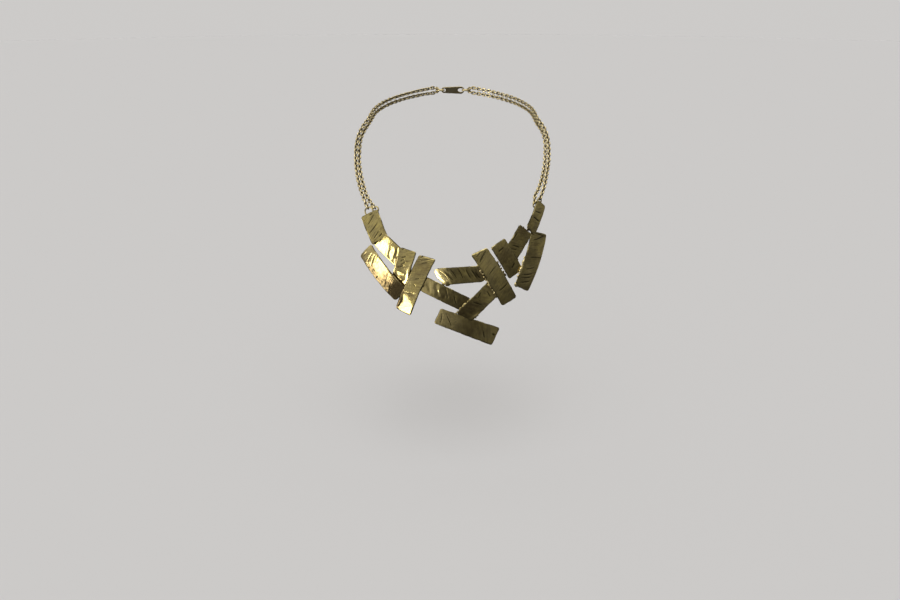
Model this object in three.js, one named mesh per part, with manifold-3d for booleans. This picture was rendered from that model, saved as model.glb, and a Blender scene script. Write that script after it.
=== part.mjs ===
// Bib necklace: bent brass strips soldered across each other into one bib, hung from two strands of
// fine link chain on each side, which meet at a ring and a plain clasp behind the neck.
// Millimetres, +Z up. The origin is the point at the nape that the necklace hangs on, and the
// wearer faces -Y, so +X is at the right of somebody who looks at the bib.

import * as THREE from 'three';
import { mergeVertices } from 'three/addons/utils/BufferGeometryUtils.js';
import Module from 'manifold-3d';

// ---- driving dimensions ----

const SHEET = 0.9; // thickness of the brass strips
const STRIP_STEPS = 10; // straight steps along a bent strip

// The strips lie on a tilted cylinder, as they lie on the upper chest.
const CHEST_RADIUS = 100;
const CHEST_TILT = 21; // degrees back from upright
const BIB_TOP = new THREE.Vector3(0, -126, -82); // where across and down are 0

const BEAD_DEPTH = 0.8; // how far a solder bead reaches from the face between two strips
const LOOP_WIRE = 0.9; // wire of the loops that the chains hook into
const LOOP_SINK = 0.25; // how far a loop's wire is sunk into the strip's back
const CHAIN_WIDTH = 2.6; // outer width of the link chain
const CHAIN_STEP = 6; // length of a straight step in a chain's tube

const NAPE_DEPTH = 3; // the clasp's middle plane behind the neck's surface
const NAPE_RISE = -0.5;
const RING_RADIUS = 2.5; // to the middle of the wire
const RING_WIRE = 1.0;
const RING_PLACE = 9.2; // the rings' centres, left and right of the nape
const CLASP_THICKNESS = 1.6;

// Strips from the wearer's right shoulder to the left one, each on the chest cylinder.
// across, down: the strip's middle, along the cylinder's face (mm)
// turn: its long way, in degrees from level towards down; start and end follow that way
// long, startWide, endWide, arch: its length, its two widths and how far its middle stands out (mm)
// lift: how far its ends stand off the cylinder (mm)
// dip, roll: turns about its short and its long middle line (degrees)
// startCut, endCut: how far its ends are from square (degrees)
const STRIP_COLUMNS = ['name', 'across', 'down', 'turn', 'long', 'startWide', 'endWide', 'arch',
  'lift', 'dip', 'roll', 'startCut', 'endCut'];
const STRIPS = [
  ['left_end', -51, -18.5, 65, 19, 12, 11.5, 0.6, 1.4, 0, 14, 0, 0],
  ['left_bright', -39.9, -4, 41, 22, 10.6, 11.5, 0.95, 0.2, -1.3, 0, 0, 0],
  ['left_outer', -45.5, 10, 48, 38, 11, 11, 2.4, 0.8, 0, 0, 0, 0],
  ['left_inner', -31, 6, 107, 21, 11, 11, 0.8, 0.8, 0, 0, 0, 25],
  ['left_long', -24, 17.5, 115, 37.5, 11, 11, 2.2, -0.2, 0, -6, -10, 0],
  ['top_bar', 4.8, 11.55, -4, 30.4, 10.5, 10, 1.9, 0.6, 0, 0, -30, 0],
  ['low_bar', -6, 23, 26, 32, 9.5, 9.5, 1.6, 0.1, 0, 0, 0, 0],
  ['slant_bar', 16, 27.5, 136, 28, 10.5, 10.5, 1, 1, 0, 0, 0, -18],
  ['bottom_plate', 8, 43, 20, 38.5, 10, 12, 1.2, -0.4, 0, 0, 5, 5],
  ['right_long', 25, 12.5, 57.5, 37, 11, 11, 2.2, 0.7, 0, 0, 9, 3],
  ['right_inner', 33, 1.5, 57, 23, 11, 11, 0.8, 1.1, 0, 0, 0, 0],
  ['right_short', 40.5, -8.5, 124, 20, 10.5, 10.5, 0.8, 0.8, 0, 0, 0, 0],
  ['right_end', 53, -24.5, 115, 20, 9.5, 10, 0.6, 1.8, 0, 16, 0, 10],
  ['right_outer', 49.8, 2.5, 112.5, 38, 12.5, 10.5, 2.4, 0.6, 3, 0, -13, 0],
];

// Solder beads, each under the strip named: along and side run from -1 to 1 over its length and
// its width, and size is the bead's radius (mm).
const BEAD_COLUMNS = ['strip', 'along', 'side', 'size'];
const BEADS = [
  ['left_end', 0.9, 0, 2],
  ['left_end', 0.9, 0.75, 1.6],
  ['left_inner', -0.2, 0.8, 1.8],
  ['left_inner', 0.3, 0.9, 1.3],
  ['left_long', -0.2, 0.8, 2],
  ['left_long', 0.5, 0.7, 2],
  ['left_long', -0.1, -0.8, 1.8],
  ['top_bar', -0.7, 0.85, 2],
  ['right_long', -0.35, 0.8, 2],
  ['right_long', 0.25, 0.8, 2],
  ['right_long', -0.3, -1.1, 1.8],
  ['right_long', 0.05, -1.1, 1.8],
  ['slant_bar', 0.55, 0.8, 2],
  ['slant_bar', 0.9, 0, 1.8],
  ['right_inner', -0.3, -0.7, 2],
  ['right_inner', 0.2, -0.8, 1.8],
  ['right_outer', 0.2, 0.9, 2.2],
  ['right_outer', 0.45, 0.95, 2.2],
  ['right_outer', 0.95, 0.9, 1.6],
  ['right_end', 0.9, 0.4, 1.8],
  ['right_end', 0.85, -0.5, 1.8],
];

// Wire loops soldered behind the end strips, one for each strand: side runs from -1 to 1 over the
// strip's width, reach is how far the loop's centre is past the strip's start, radius to the wire.
const LOOP_COLUMNS = ['strip', 'side', 'reach', 'radius'];
const LOOPS = [
  ['left_end', 0, 1.2, 2.6],
  ['left_end', -0.75, 0.3, 1.8],
  ['right_end', 1, -4, 1.6],
  ['right_end', 0.35, 0.4, 1.7],
];

// The strands' routes, from the bib's loops round the neck to the rings at the nape.
const ROUTES = {
  left_outer_chain: [
    [-54.6, -100.2, -58.1], [-57.3, -95.9, -53], [-60.8, -86.6, -47], [-63.4, -76.6, -38],
    [-64.1, -69, -30.4], [-63.2, -62.6, -22.7], [-60.9, -57, -17.6], [-57.4, -50.1, -13],
    [-53.4, -35.4, -7.5], [-44.8, -20.7, -3.9], [-33, -8.6, -1.5], [-22.2, -1.1, 0.1],
    [-12.7, 2.4, 1.2],
  ],
  left_inner_chain: [
    [-50.8, -100.3, -57.6], [-54.6, -94.6, -54.2], [-58.4, -85, -48], [-61.3, -75, -39.3],
    [-62.1, -67.4, -32], [-61.7, -60.8, -24.8], [-59.9, -55.6, -20.1], [-56.9, -48.9, -15.9],
    [-53, -34.6, -10.5], [-44.4, -20.3, -6.9], [-32.6, -8.4, -4.5], [-21.8, -0.9, -3.1],
    [-12.5, 2.5, -2],
  ],
  right_inner_chain: [
    [50, -102.8, -53.4], [51.1, -99.2, -51.3], [53.2, -94.8, -49.5], [56.6, -85.3, -44.8],
    [59.4, -74.6, -38.2], [60.5, -67.2, -31.7], [60.7, -60.8, -25.1], [59.4, -55.5, -20.2],
    [56.4, -48.9, -15.9], [53, -34.6, -10.5], [44.4, -20.3, -6.9], [32.6, -8.4, -4.5],
    [21.8, -0.9, -3.1], [12.5, 2.5, -2],
  ],
  right_outer_chain: [
    [54.9, -98.9, -52.2], [57.1, -94, -47.9], [59.1, -86.7, -43.4], [61.7, -76.1, -36.6],
    [62.6, -69, -30.2], [62.2, -62.6, -23], [60.4, -57.1, -17.7], [56.9, -50.1, -13],
    [53.4, -35.4, -7.5], [44.8, -20.7, -3.9], [33, -8.6, -1.5], [22.2, -1.1, 0.1],
    [12.7, 2.4, 1.2],
  ],
};

// ---- helpers ----

function tableRows(columns, rows) {
  return rows.map((row) => Object.fromEntries(columns.map((column, index) => [column, row[index]])));
}

const radians = THREE.MathUtils.degToRad;
const strips = tableRows(STRIP_COLUMNS, STRIPS);
const stripByName = new Map(strips.map((strip) => [strip.name, strip]));

// The chest cylinder's own directions: level, up its slope and straight out of its top line.
const LEVEL = new THREE.Vector3(1, 0, 0);
const UPSLOPE = new THREE.Vector3(0, Math.sin(radians(CHEST_TILT)), Math.cos(radians(CHEST_TILT)));
const OUTWARD = new THREE.Vector3(0, -Math.cos(radians(CHEST_TILT)), Math.sin(radians(CHEST_TILT)));

function blend(first, firstPart, second, secondPart) {
  return first.clone().multiplyScalar(firstPart).addScaledVector(second, secondPart);
}

// A strip's middle and its three directions: along it, across it and out of its face.
function stripFrame(strip) {
  const angle = strip.across / CHEST_RADIUS;
  const out = blend(LEVEL, Math.sin(angle), OUTWARD, Math.cos(angle));
  const side = blend(LEVEL, Math.cos(angle), OUTWARD, -Math.sin(angle));
  const turn = radians(strip.turn);
  const flatAlong = blend(side, Math.cos(turn), UPSLOPE, -Math.sin(turn));
  const flatAcross = blend(side, -Math.sin(turn), UPSLOPE, -Math.cos(turn));
  const dip = radians(strip.dip);
  const along = blend(flatAlong, Math.cos(dip), out, Math.sin(dip));
  const dipped = blend(out, Math.cos(dip), flatAlong, -Math.sin(dip));
  const roll = radians(strip.roll);
  const across = blend(flatAcross, Math.cos(roll), dipped, Math.sin(roll));
  const face = blend(dipped, Math.cos(roll), flatAcross, -Math.sin(roll));
  const reach = CHEST_RADIUS + strip.lift;
  const middle = BIB_TOP.clone()
    .addScaledVector(LEVEL, reach * Math.sin(angle))
    .addScaledVector(OUTWARD, reach * Math.cos(angle) - CHEST_RADIUS)
    .addScaledVector(UPSLOPE, -strip.down);
  return { middle, along, across, face };
}

// A place on a strip: fraction and side run from -1 to 1, height is out of its middle surface.
function stripPoint(strip, fraction, side, height) {
  const { middle, along, across, face } = stripFrame(strip);
  const width = THREE.MathUtils.lerp(strip.startWide, strip.endWide, (fraction + 1) / 2);
  const sideways = (side * width) / 2;
  const cut = fraction < 0 ? strip.startCut : -strip.endCut;
  const lengthways = (fraction * strip.long) / 2 + Math.tan(radians(cut)) * sideways * fraction;
  const bulge = strip.arch * (1 - ((2 * lengthways) / strip.long) ** 2);
  return middle.addScaledVector(along, lengthways)
    .addScaledVector(across, sideways)
    .addScaledVector(face, bulge + height);
}

const wasm = await Module();
wasm.setup();

function toManifold(geometry) {
  const bare = geometry.clone();
  bare.deleteAttribute('normal');
  bare.deleteAttribute('uv');
  const merged = mergeVertices(bare);
  return new wasm.Manifold(new wasm.Mesh({
    numProp: 3,
    vertProperties: merged.attributes.position.array,
    triVerts: Uint32Array.from(merged.index.array),
  }));
}

function toGeometry(manifold) {
  const mesh = manifold.getMesh();
  const geometry = new THREE.BufferGeometry();
  geometry.setAttribute('position', new THREE.BufferAttribute(mesh.vertProperties, 3));
  geometry.setIndex(new THREE.BufferAttribute(mesh.triVerts, 1));
  geometry.computeVertexNormals();
  return geometry;
}

// ---- the soldered bib ----

function stripGeometry(strip) {
  const geometry = new THREE.BoxGeometry(2, 2, SHEET, STRIP_STEPS, 1, 1);
  const position = geometry.attributes.position;
  for (let index = 0; index < position.count; index += 1) {
    const side = -position.getY(index); // across runs down the slope, so the box keeps its handedness
    const point = stripPoint(strip, position.getX(index), side, position.getZ(index));
    position.setXYZ(index, point.x, point.y, point.z);
  }
  return geometry;
}

// Puts a geometry that was made flat, with +Z as its face, onto a strip's directions.
function placeOnStrip(geometry, strip, point) {
  const { along, across, face } = stripFrame(strip);
  const placed = new THREE.Matrix4().makeBasis(along, across.negate(), face).setPosition(point);
  return geometry.applyMatrix4(placed);
}

function beadGeometry(bead) {
  const strip = stripByName.get(bead.strip);
  const geometry = new THREE.SphereGeometry(1, 8, 4);
  geometry.scale(bead.size, bead.size, BEAD_DEPTH);
  return placeOnStrip(geometry, strip, stripPoint(strip, bead.along, bead.side, -SHEET / 2));
}

function loopGeometry(loop) {
  const strip = stripByName.get(loop.strip);
  const geometry = new THREE.TorusGeometry(loop.radius, LOOP_WIRE / 2, 6, 16);
  const behind = LOOP_SINK - (SHEET + LOOP_WIRE) / 2;
  const fraction = -1 - (2 * loop.reach) / strip.long;
  return placeOnStrip(geometry, strip, stripPoint(strip, fraction, loop.side, behind));
}

function bibGeometry() {
  const pieces = [
    ...strips.map(stripGeometry),
    ...tableRows(BEAD_COLUMNS, BEADS).map(beadGeometry),
    ...tableRows(LOOP_COLUMNS, LOOPS).map(loopGeometry),
  ];
  return toGeometry(pieces.map(toManifold).reduce((joined, piece) => joined.add(piece)));
}

// ---- the chains and the clasp ----

function chainGeometry(route) {
  const path = new THREE.CatmullRomCurve3(route.map((point) => new THREE.Vector3(...point)));
  const section = new THREE.Shape().absarc(0, 0, CHAIN_WIDTH / 2, 0, 2 * Math.PI);
  const steps = Math.round(path.getLength() / CHAIN_STEP);
  return new THREE.ExtrudeGeometry(section, { extrudePath: path, steps, curveSegments: 8 });
}

function ringGeometry() {
  return new THREE.TorusGeometry(RING_RADIUS, RING_WIRE / 2, 6, 16);
}

// A closed flat clasp: a small eye for the left ring and a long one for the right ring.
function claspGeometry() {
  const eye = { x: -6.6, radius: 2.1, hole: 1.1 };
  const hook = { x: 5.6, radius: 2.6, holeLong: 2.4, holeWide: 1.3 };
  const outline = new THREE.Shape();
  outline.absarc(hook.x, 0, hook.radius, -Math.PI / 2, Math.PI / 2);
  outline.absarc(eye.x, 0, eye.radius, Math.PI / 2, (3 * Math.PI) / 2);
  const small = new THREE.Path().absarc(eye.x, 0, eye.hole, 0, 2 * Math.PI, true);
  const large = new THREE.Path().absellipse(hook.x, 0, hook.holeLong, hook.holeWide, 0, 2 * Math.PI, true);
  outline.holes.push(small, large);
  const geometry = new THREE.ExtrudeGeometry(outline, {
    depth: CLASP_THICKNESS, bevelEnabled: false, curveSegments: 10,
  });
  return geometry.translate(0, 0, -CLASP_THICKNESS / 2).rotateX(Math.PI / 2);
}

// ---- the assembly ----

function brass(color, roughness) {
  return new THREE.MeshStandardMaterial({ color, roughness, metalness: 1 });
}

function addPiece(group, name, geometry, material, place = [0, 0, 0]) {
  const mesh = new THREE.Mesh(geometry, material);
  mesh.name = name;
  mesh.position.set(...place);
  group.add(mesh);
}

const necklace = new THREE.Group();
addPiece(necklace, 'bib', bibGeometry(), brass(0x8a7a3c, 0.35));
for (const [name, route] of Object.entries(ROUTES)) {
  addPiece(necklace, name, chainGeometry(route), brass(0xc2a95c, 0.3));
}
addPiece(necklace, 'left_end_ring', ringGeometry(), brass(0xc2a95c, 0.3),
  [-RING_PLACE, NAPE_DEPTH, NAPE_RISE]);
addPiece(necklace, 'right_end_ring', ringGeometry(), brass(0xc2a95c, 0.3),
  [RING_PLACE, NAPE_DEPTH, NAPE_RISE]);
addPiece(necklace, 'clasp', claspGeometry(), brass(0xc2a95c, 0.3), [0, NAPE_DEPTH, NAPE_RISE]);

export default necklace;
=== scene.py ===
"""Bib necklace: the looks of its hammered brass strips, solder, wire loops, link chains and clasp.

Lengths in the tables are millimetres, as in the part's source; MM turns them into metres.
Directions: +Z up, the wearer faces -Y, +X is to the right of somebody who looks at the bib.
"""

import math

import bpy
import numpy as np
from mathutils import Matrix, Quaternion, Vector


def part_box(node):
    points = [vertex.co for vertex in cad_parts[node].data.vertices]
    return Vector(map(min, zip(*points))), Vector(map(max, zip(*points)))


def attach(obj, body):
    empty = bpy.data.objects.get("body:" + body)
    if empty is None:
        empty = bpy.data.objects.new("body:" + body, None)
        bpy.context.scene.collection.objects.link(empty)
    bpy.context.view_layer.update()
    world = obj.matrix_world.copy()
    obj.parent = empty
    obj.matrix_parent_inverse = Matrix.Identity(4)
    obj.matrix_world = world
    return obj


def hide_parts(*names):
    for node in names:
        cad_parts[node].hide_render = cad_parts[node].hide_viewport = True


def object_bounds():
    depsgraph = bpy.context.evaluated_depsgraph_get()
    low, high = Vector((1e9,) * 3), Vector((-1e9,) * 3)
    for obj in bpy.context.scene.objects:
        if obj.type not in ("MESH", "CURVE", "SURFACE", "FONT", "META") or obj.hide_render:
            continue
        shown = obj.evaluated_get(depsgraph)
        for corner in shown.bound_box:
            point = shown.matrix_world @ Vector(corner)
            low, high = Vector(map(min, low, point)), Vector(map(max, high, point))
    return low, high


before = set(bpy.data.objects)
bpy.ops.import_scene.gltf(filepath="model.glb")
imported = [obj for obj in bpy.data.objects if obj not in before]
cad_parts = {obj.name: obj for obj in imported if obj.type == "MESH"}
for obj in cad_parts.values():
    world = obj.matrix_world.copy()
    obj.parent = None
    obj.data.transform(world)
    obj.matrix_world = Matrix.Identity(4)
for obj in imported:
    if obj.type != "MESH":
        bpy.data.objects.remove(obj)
cad_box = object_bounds()

MM = 0.001
SEED = 11

# ---- the part's own sizes ----

SHEET = 0.9
CHEST_RADIUS = 100
CHEST_TILT = math.radians(21)
BIB_TOP = np.array([0.0, -126.0, -82.0])
BEAD_DEPTH = 0.8
LOOP_WIRE = 0.9
LOOP_SINK = 0.25
NAPE = np.array([0.0, 3.0, -0.5])
RING_RADIUS = 2.5
RING_WIRE = 1.0
RING_PLACE = 9.2
CLASP_THICKNESS = 1.6

# Each strip on the tilted chest cylinder, from the wearer's right shoulder to the left one.
# across, down: the strip's middle, along the cylinder's face
# turn: its long way, in degrees from level towards down; start and end follow that way
# long, start_wide, end_wide, arch: its length, its two widths and how far its middle stands out
# lift: how far its ends stand off the cylinder
# dip, roll: turns about its short and its long middle line, in degrees
# start_cut, end_cut: how far its ends are from square, in degrees
STRIP_COLUMNS = (
    "name", "across", "down", "turn", "long", "start_wide", "end_wide", "arch",
    "lift", "dip", "roll", "start_cut", "end_cut",
)
STRIPS = [
    ("left_end", -51, -18.5, 65, 19, 12, 11.5, 0.6, 1.4, 0, 14, 0, 0),
    ("left_bright", -39.9, -4, 41, 22, 10.6, 11.5, 0.95, 0.2, -1.3, 0, 0, 0),
    ("left_outer", -45.5, 10, 48, 38, 11, 11, 2.4, 0.8, 0, 0, 0, 0),
    ("left_inner", -31, 6, 107, 21, 11, 11, 0.8, 0.8, 0, 0, 0, 25),
    ("left_long", -24, 17.5, 115, 37.5, 11, 11, 2.2, -0.2, 0, -6, -10, 0),
    ("top_bar", 4.8, 11.55, -4, 30.4, 10.5, 10, 1.9, 0.6, 0, 0, -30, 0),
    ("low_bar", -6, 23, 26, 32, 9.5, 9.5, 1.6, 0.1, 0, 0, 0, 0),
    ("slant_bar", 16, 27.5, 136, 28, 10.5, 10.5, 1, 1, 0, 0, 0, -18),
    ("bottom_plate", 8, 43, 20, 38.5, 10, 12, 1.2, -0.4, 0, 0, 5, 5),
    ("right_long", 25, 12.5, 57.5, 37, 11, 11, 2.2, 0.7, 0, 0, 9, 3),
    ("right_inner", 33, 1.5, 57, 23, 11, 11, 0.8, 1.1, 0, 0, 0, 0),
    ("right_short", 40.5, -8.5, 124, 20, 10.5, 10.5, 0.8, 0.8, 0, 0, 0, 0),
    ("right_end", 53, -24.5, 115, 20, 9.5, 10, 0.6, 1.8, 0, 16, 0, 10),
    ("right_outer", 49.8, 2.5, 112.5, 38, 12.5, 10.5, 2.4, 0.6, 3, 0, -13, 0),
]

# Solder beads, each under the strip named: along and side run from -1 to 1 over its length and its
# width, size is the bead's radius, and finish says which solder it is.
BEAD_COLUMNS = ("strip", "along", "side", "size", "finish")
BEADS = [
    ("left_end", 0.9, 0, 2, "dull"), ("left_end", 0.9, 0.75, 1.6, "dull"),
    ("left_inner", -0.2, 0.8, 1.8, "dull"), ("left_inner", 0.3, 0.9, 1.3, "dull"),
    ("left_long", -0.2, 0.8, 2, "dull"), ("left_long", 0.5, 0.7, 2, "dull"),
    ("left_long", -0.1, -0.8, 1.8, "dull"),
    ("top_bar", -0.7, 0.85, 2, "dull"),
    ("right_long", -0.35, 0.8, 2, "dark"), ("right_long", 0.25, 0.8, 2, "dark"),
    ("right_long", -0.3, -1.1, 1.8, "dark"), ("right_long", 0.05, -1.1, 1.8, "dark"),
    ("slant_bar", 0.55, 0.8, 2, "dull"), ("slant_bar", 0.9, 0, 1.8, "dull"),
    ("right_inner", -0.3, -0.7, 2, "dark"), ("right_inner", 0.2, -0.8, 1.8, "dark"),
    ("right_outer", 0.2, 0.9, 2.2, "gold"), ("right_outer", 0.45, 0.95, 2.2, "gold"),
    ("right_outer", 0.95, 0.9, 1.6, "gold"),
    ("right_end", 0.9, 0.4, 1.8, "dark"), ("right_end", 0.85, -0.5, 1.8, "dark"),
]

# Wire loops behind the end strips, one for each strand: side runs from -1 to 1 over the strip's
# width, reach is how far the loop's centre is past the strip's start, radius is to the wire's middle.
LOOP_COLUMNS = ("name", "strip", "side", "reach", "radius")
LOOPS = [
    ("left_outer_loop", "left_end", 0, 1.2, 2.6),
    ("left_inner_loop", "left_end", -0.75, 0.3, 1.8),
    ("right_inner_loop", "right_end", 1, -4, 1.6),
    ("right_outer_loop", "right_end", 0.35, 0.4, 1.7),
]

# The strands' routes, from the bib's loops round the neck to the rings at the nape.
ROUTES = {
    "left_outer_chain": [
        (-54.6, -100.2, -58.1), (-57.3, -95.9, -53), (-60.8, -86.6, -47), (-63.4, -76.6, -38),
        (-64.1, -69, -30.4), (-63.2, -62.6, -22.7), (-60.9, -57, -17.6), (-57.4, -50.1, -13),
        (-53.4, -35.4, -7.5), (-44.8, -20.7, -3.9), (-33, -8.6, -1.5), (-22.2, -1.1, 0.1),
        (-12.7, 2.4, 1.2),
    ],
    "left_inner_chain": [
        (-50.8, -100.3, -57.6), (-54.6, -94.6, -54.2), (-58.4, -85, -48), (-61.3, -75, -39.3),
        (-62.1, -67.4, -32), (-61.7, -60.8, -24.8), (-59.9, -55.6, -20.1), (-56.9, -48.9, -15.9),
        (-53, -34.6, -10.5), (-44.4, -20.3, -6.9), (-32.6, -8.4, -4.5), (-21.8, -0.9, -3.1),
        (-12.5, 2.5, -2),
    ],
    "right_inner_chain": [
        (50, -102.8, -53.4), (51.1, -99.2, -51.3), (53.2, -94.8, -49.5), (56.6, -85.3, -44.8),
        (59.4, -74.6, -38.2), (60.5, -67.2, -31.7), (60.7, -60.8, -25.1), (59.4, -55.5, -20.2),
        (56.4, -48.9, -15.9), (53, -34.6, -10.5), (44.4, -20.3, -6.9), (32.6, -8.4, -4.5),
        (21.8, -0.9, -3.1), (12.5, 2.5, -2),
    ],
    "right_outer_chain": [
        (54.9, -98.9, -52.2), (57.1, -94, -47.9), (59.1, -86.7, -43.4), (61.7, -76.1, -36.6),
        (62.6, -69, -30.2), (62.2, -62.6, -23), (60.4, -57.1, -17.7), (56.9, -50.1, -13),
        (53.4, -35.4, -7.5), (44.8, -20.7, -3.9), (33, -8.6, -1.5), (22.2, -1.1, 0.1),
        (12.7, 2.4, 1.2),
    ],
}

# The clasp's outline, its round eye for the left ring and its long one for the right ring, each of
# arcs: the arc's middle, its radius along the clasp and up it, and where it starts and stops in
# degrees.
CLASP_ARCS = [
    [(5.6, 2.6, 2.6, -90, 90), (-6.6, 2.1, 2.1, 90, 270)],
    [(-6.6, 1.1, 1.1, 0, 345)],
    [(5.6, 2.15, 1.3, 0, 345)],
]

# ---- what only shows here ----

CELL = 0.25  # the strips' mesh size
CORNER = 1.1  # corner radius of most strips
CORNERS = {"top_bar": 4, "left_outer": 1.6, "right_end": 1.8, "right_long": 1.4}  # the rounder strips
CROWN = 0.07  # how far a strip's long edges bend back from its middle
EDGE_ROLL = 0.06  # how far a face rolls down at its rim
EDGE_ROLL_WIDE = 0.3
EDGE_BULGE = 0.16  # how far a strip's rounded edge stands out past its flat face
EDGE_RINGS = [(60, 0.1), (25, 0.55), (-25, 0.8), (-60, 0.9)]  # its rings' turns and darkness: patina on the cut sides, and painted shade that grows towards the back
RIM_PATINA_AND_SHADE_WIDE = 0.2  # the dark rim along the outline: patina on the cut edge, and painted shade
RAGGED = 0.07  # how uneven the shears and files left the outline

# The hammered faces: how deep and how big the relief is.
WAVE_DEEP, WAVE_SIZE = 0.035, 8
GRAIN_DEEP, GRAIN_SIZE = 0.005, 1.6
STREAK_DEEP, STREAK_WIDE = 0.009, 1
STREAK_TURN = 64  # degrees from the strip's long way
STREAK_SHAPE = 0.12  # a streak's width over its length
DENT_AREA = 14  # square millimetres of strip for each dent

# Cut lines, and two shallow dark lines along strips' sides, which are painted shade: along and side are
# from -1 to 1, turn is from the strip's long way towards its across direction; wide and deep are the
# groove's.
MARK_COLUMNS = ("strip", "along", "side", "turn", "long", "wide", "deep")
MARKS = [
    ("left_end", -0.85, -0.15, 80, 3, 0.7, 0.12),
    ("left_end", -0.5, 0.05, 58, 9, 0.6, 0.1),
    ("left_end", 0.1, 0.1, 60, 10.5, 0.6, 0.1),
    ("left_end", 0.58, 0.05, 60, 7.5, 0.65, 0.1),
    ("left_end", 0.72, -0.35, 64, 3.6, 0.8, 0.14),
    # painted shade along left_end's lower-left side
    ("left_end", 0.3, 0.98, 0, 22, 0.9, 0.02),
    ("left_outer", -0.88, 0.25, 86, 4.6, 0.61, 0.1),
    ("left_outer", -0.66, 0, 76, 6.5, 0.57, 0.1),
    ("left_outer", -0.5, -0.1, 60, 8, 0.61, 0.12),
    ("left_outer", 0.02, 0.75, 70, 2, 0.61, 0.1),
    ("left_inner", -0.92, 0.6, 35, 3, 0.61, 0.12),
    ("left_inner", -0.5, 0.2, 60, 4.1, 0.61, 0.12),
    ("left_inner", -0.31, 0.3, 42, 3.5, 0.61, 0.12),
    ("left_inner", -0.14, 0.1, 42, 4.4, 0.61, 0.12),
    ("left_inner", 0.1, 0.3, 51, 5.7, 0.61, 0.12),
    ("left_long", -0.96, 0.55, 31, 2.7, 0.61, 0.12),
    ("left_long", -0.88, 0.1, 69, 7.1, 0.57, 0.12),
    ("left_long", -0.77, 0, 63, 5, 0.54, 0.1),
    ("left_long", -0.22, -0.1, 56, 3.9, 0.61, 0.1),
    ("left_long", 0.0, -0.1, -80, 2.6, 0.61, 0.1),
    ("left_long", 0.33, 0.15, 68, 7, 0.61, 0.12),
    # painted shade along left_long's left side
    ("left_long", 0.25, 0.95, 0, 30, 0.8, 0.03),
    ("top_bar", -0.68, -0.1, 62, 7, 0.6, 0.1),
    ("top_bar", -0.52, 0, 60, 8.5, 0.68, 0.12),
    ("top_bar", -0.3, -0.2, 70, 7, 0.68, 0.12),
    ("top_bar", -0.04, -0.2, 66, 7.5, 0.68, 0.12),
    ("top_bar", 0.26, -0.1, 67, 7.6, 0.68, 0.12),
    ("top_bar", 0.5, 0, 60, 7.2, 0.81, 0.14),
    ("top_bar", 0.62, 0.1, 58, 6, 0.68, 0.12),
    ("low_bar", 0.1, -0.2, 55, 7, 0.68, 0.12),
    ("low_bar", 0.5, 0.1, 50, 7, 0.68, 0.12),
    ("slant_bar", -0.48, -0.1, -73, 4.8, 0.54, 0.08),
    ("slant_bar", -0.15, 0.6, -19, 4.7, 0.54, 0.08),
    ("slant_bar", 0.15, 0, 66, 7, 0.61, 0.08),
    ("bottom_plate", -0.84, 0.15, 74, 7.5, 0.61, 0.1),
    ("bottom_plate", -0.6, 0.05, 50, 9.5, 0.68, 0.12),
    ("bottom_plate", 0.6, 0.2, 60, 5.3, 0.61, 0.1),
    ("bottom_plate", 0.9, -0.1, 20, 2.4, 0.81, 0.14),
    ("right_long", -0.89, 0.3, 64, 5.2, 0.57, 0.03),
    ("right_long", -0.82, -0.1, 57, 9.5, 0.75, 0.04),
    ("right_long", -0.72, 0.3, 60, 6, 0.54, 0.03),
    ("right_long", -0.23, -0.05, 70, 7.7, 0.47, 0.08),
    ("right_long", 0.45, -0.15, 78, 7.5, 0.61, 0.1),
    ("right_inner", -0.6, 0.1, 80, 5, 0.68, 0.1),
    ("right_inner", 0.5, -0.2, 60, 4, 0.68, 0.1),
    ("right_short", -0.14, 0.8, 8, 7.2, 0.61, 0.1),
    ("right_short", 0.3, 0, 66, 6, 0.61, 0.1),
    ("right_short", 0.55, 0.1, 66, 5, 0.54, 0.1),
    ("right_end", 0.15, 0, 86, 8, 0.68, 0.12),
    ("right_end", -0.3, 0.1, 80, 7, 0.54, 0.1),
    ("right_outer", -0.8, -0.1, 55, 12, 0.75, 0.06),
    ("right_outer", -0.93, -0.15, -85, 10, 0.7, 0.06),
    ("right_outer", -0.12, -0.3, 67, 11, 0.54, 0.08),
    ("right_outer", 0.3, 0, 63, 8, 0.57, 0.1),
    ("right_outer", 0.51, 0, 63, 8.9, 0.61, 0.12),
    ("right_outer", 0.62, 0, 63, 8.6, 0.61, 0.12),
    ("right_outer", 0.76, -0.1, 62, 7.9, 0.68, 0.12),
]

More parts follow.
